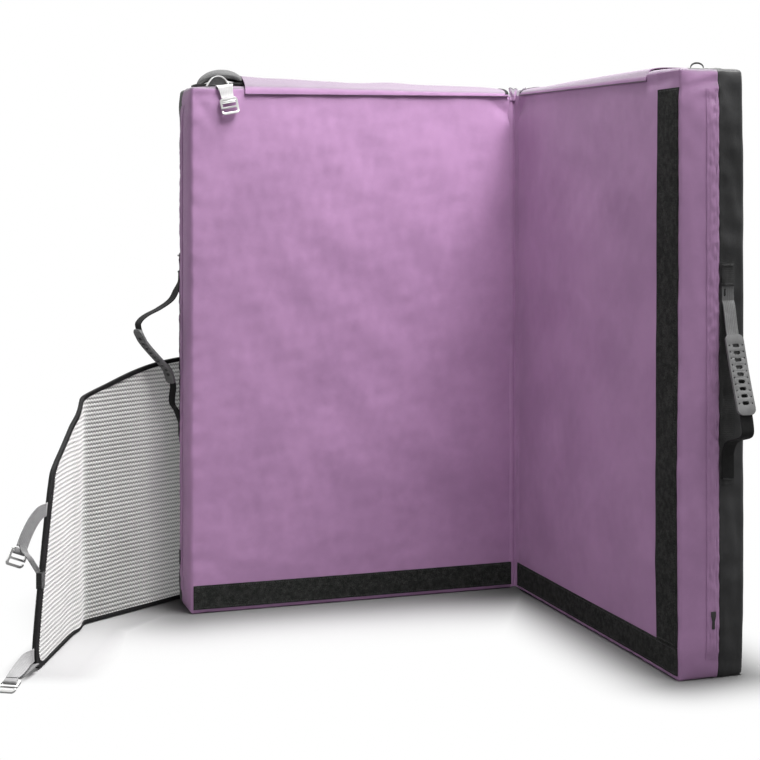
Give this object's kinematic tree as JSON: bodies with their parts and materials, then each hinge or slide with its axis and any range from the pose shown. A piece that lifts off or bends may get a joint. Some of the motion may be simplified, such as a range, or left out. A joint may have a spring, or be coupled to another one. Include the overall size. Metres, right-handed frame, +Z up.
{
  "type": "bouldering crash pad",
  "caption": "Foam landing pad in two cloth-covered halves on a fold, stood open, with a mesh cover flap, gear flaps, handles, hook buckles and a carrying harness.",
  "frame": {"origin": "centre of the flat bottom of half A, on the floor", "axes": "+X along half A towards the fold, +Y from half A's landing face to its back, +Z up"},
  "size_m": [1.0961, 0.8326, 0.9501],
  "materials": {
    "purple_cloth": "coated woven nylon, slightly sheened",
    "black_cloth": "coated woven nylon, matte",
    "closed_cell_foam": "closed-cell polyethylene foam, cut face",
    "open_cell_foam": "open-cell polyurethane foam, soft and porous",
    "hook_tape": "woven hook tape, matte",
    "grey_webbing": "flat polypropylene webbing",
    "pale_webbing": "flat pale webbing",
    "black_webbing": "flat polypropylene webbing",
    "spacer_mesh": "striped knitted spacer mesh",
    "black_plastic": "moulded, satin",
    "grey_plastic": "moulded thermoplastic rubber, satin",
    "steel": "tumbled bare metal"
  },
  "bodies": {
    "half_b": {"back_hook_loop_lower": "black_webbing", "back_hook_loop_upper": "black_webbing", "base_cover_b": "black_cloth", "closed_cell_foam_b": "closed_cell_foam", "fold_seam_b": "purple_cloth", "handle_anchor_b": "black_webbing", "hook_strip_bottom_b": "hook_tape", "hook_strip_side_b": "hook_tape", "landing_cover_b": "purple_cloth", "open_cell_foam_b": "open_cell_foam", "top_hook_loop": "black_webbing", "zip_chain_b": "black_plastic", "zip_placket_b": "purple_cloth"},
    "half_a": {"base_cover_a": "black_cloth", "carry_handle": "black_webbing", "closed_cell_foam_a": "closed_cell_foam", "closure_strap_anchor": "pale_webbing", "cover_flap_hem": "spacer_mesh", "fold_seam_a": "purple_cloth", "handle_anchor_a": "black_webbing", "harness_yoke": "black_cloth", "hook_strip_bottom_a": "hook_tape", "ladder_lock_left": "black_plastic", "ladder_lock_right": "black_plastic", "landing_cover_a": "purple_cloth", "lumbar_pad": "black_cloth", "open_cell_foam_a": "open_cell_foam", "shoulder_strap_left": "black_cloth", "shoulder_strap_right": "black_cloth", "shoulder_webbing_left": "black_webbing", "shoulder_webbing_right": "black_webbing", "zip_chain_a": "black_plastic", "zip_placket_a": "purple_cloth"},
    "closure_buckle": {"closure_buckle": "steel", "closure_roller": "steel", "closure_strap_end": "pale_webbing"},
    "closure_strap": {"closure_strap_tail": "pale_webbing"},
    "cover_flap_outer": {"cover_binding_outer": "black_cloth", "cover_mesh_outer": "spacer_mesh", "cover_strap_lower": "grey_webbing", "cover_strap_upper": "grey_webbing"},
    "cover_flap_inner": {"cover_flap_inner": "spacer_mesh"},
    "cover_buckle_lower": {"cover_lower_buckle": "steel", "cover_lower_roller": "steel", "cover_lower_strap_end": "grey_webbing"},
    "cover_buckle_upper": {"cover_upper_buckle": "steel", "cover_upper_roller": "steel", "cover_upper_strap_end": "grey_webbing"},
    "gear_flap_a": {"gear_flap_a": "purple_cloth"},
    "gear_flap_b": {"gear_flap_b": "purple_cloth"},
    "hip_wing_right": {"hip_buckle_plug": "black_plastic", "hip_wing_right": "black_cloth"},
    "hip_wing_left": {"hip_buckle_socket": "black_plastic", "hip_wing_left": "black_cloth"},
    "side_handle_a": {"side_handle_grip_a": "grey_plastic", "side_handle_webbing_a": "grey_webbing"},
    "side_handle_b": {"side_handle_grip_b": "grey_plastic", "side_handle_webbing_b": "grey_webbing"},
    "zip_slider_a": {"zip_slider_a": "black_plastic"},
    "zip_slider_b": {"zip_slider_b": "black_plastic"}
  },
  "joints": [
    {"name": "main_fold", "type": "hinge", "parent": "half_a", "child": "half_b", "pos_m": [0.306, -0.0565, 0], "axis": [0, 0, 1], "range_deg": [-88.5, 90]},
    {"name": "gear_flap_a_turn", "type": "hinge", "parent": "half_a", "child": "gear_flap_a", "pos_m": [0.302, -0.0558, 0.904], "axis": [1, 0, 0], "range_deg": [0, 100]},
    {"name": "gear_flap_b_turn", "type": "hinge", "parent": "half_b", "child": "gear_flap_b", "pos_m": [0.3067, -0.0605, 0.904], "axis": [0, -1, 0], "range_deg": [0, 100]},
    {"name": "cover_flap_turn", "type": "hinge", "parent": "half_a", "child": "cover_flap_inner", "pos_m": [-0.32898, 0.03925, 0], "axis": [0, 0, 1], "range_deg": [-105, 0]},
    {"name": "cover_flap_crease", "type": "hinge", "parent": "cover_flap_inner", "child": "cover_flap_outer", "pos_m": [-0.49001, -0.06532, 0], "axis": [0, 0, 1], "range_deg": [-34, 66]},
    {"name": "closure_strap_turn", "type": "hinge", "parent": "half_a", "child": "closure_strap", "pos_m": [-0.2426, -0.0574, 0.9174], "axis": [-1, 0, 0], "range_deg": [0, 90]},
    {"name": "closure_buckle_turn", "type": "hinge", "parent": "closure_strap", "child": "closure_buckle", "pos_m": [-0.23859, -0.0574, 0.89679], "axis": [-0.9816, 0, -0.1908], "range_deg": [0, 60]},
    {"name": "cover_buckle_upper_turn", "type": "hinge", "parent": "cover_flap_outer", "child": "cover_buckle_upper", "pos_m": [-0.61329, -0.2835, 0.18357], "axis": [-0.831, -0.3875, 0.399], "range_deg": [-55, 55]},
    {"name": "cover_buckle_lower_turn", "type": "hinge", "parent": "cover_flap_outer", "child": "cover_buckle_lower", "pos_m": [-0.63737, -0.3905, 0.01688], "axis": [-0.866, 0.5, 0], "range_deg": [0, 55]},
    {"name": "side_handle_a_turn", "type": "hinge", "parent": "half_a", "child": "side_handle_a", "pos_m": [-0.302, 0.0226, 0], "axis": [0, 0, 1], "range_deg": [0, 5]},
    {"name": "side_handle_b_turn", "type": "hinge", "parent": "half_b", "child": "side_handle_b", "pos_m": [0.3851, -0.6645, 0], "axis": [0, 0, 1], "range_deg": [-20, 25]},
    {"name": "zip_a_slide", "type": "slide", "parent": "half_a", "child": "zip_slider_a", "axis": [0, 0, 1], "range_m": [0, 0.7]},
    {"name": "zip_b_slide", "type": "slide", "parent": "half_b", "child": "zip_slider_b", "axis": [0, 0, 1], "range_m": [0, 0.7]},
    {"name": "hip_wing_left_turn", "type": "hinge", "parent": "half_a", "child": "hip_wing_left", "pos_m": [-0.035, 0.06886, 0.105], "axis": [0, 0, -1], "range_deg": [0, 90]},
    {"name": "hip_wing_right_turn", "type": "hinge", "parent": "half_a", "child": "hip_wing_right", "pos_m": [0.035, 0.06886, 0.105], "axis": [0, 0, 1], "range_deg": [0, 90]}
  ]
}
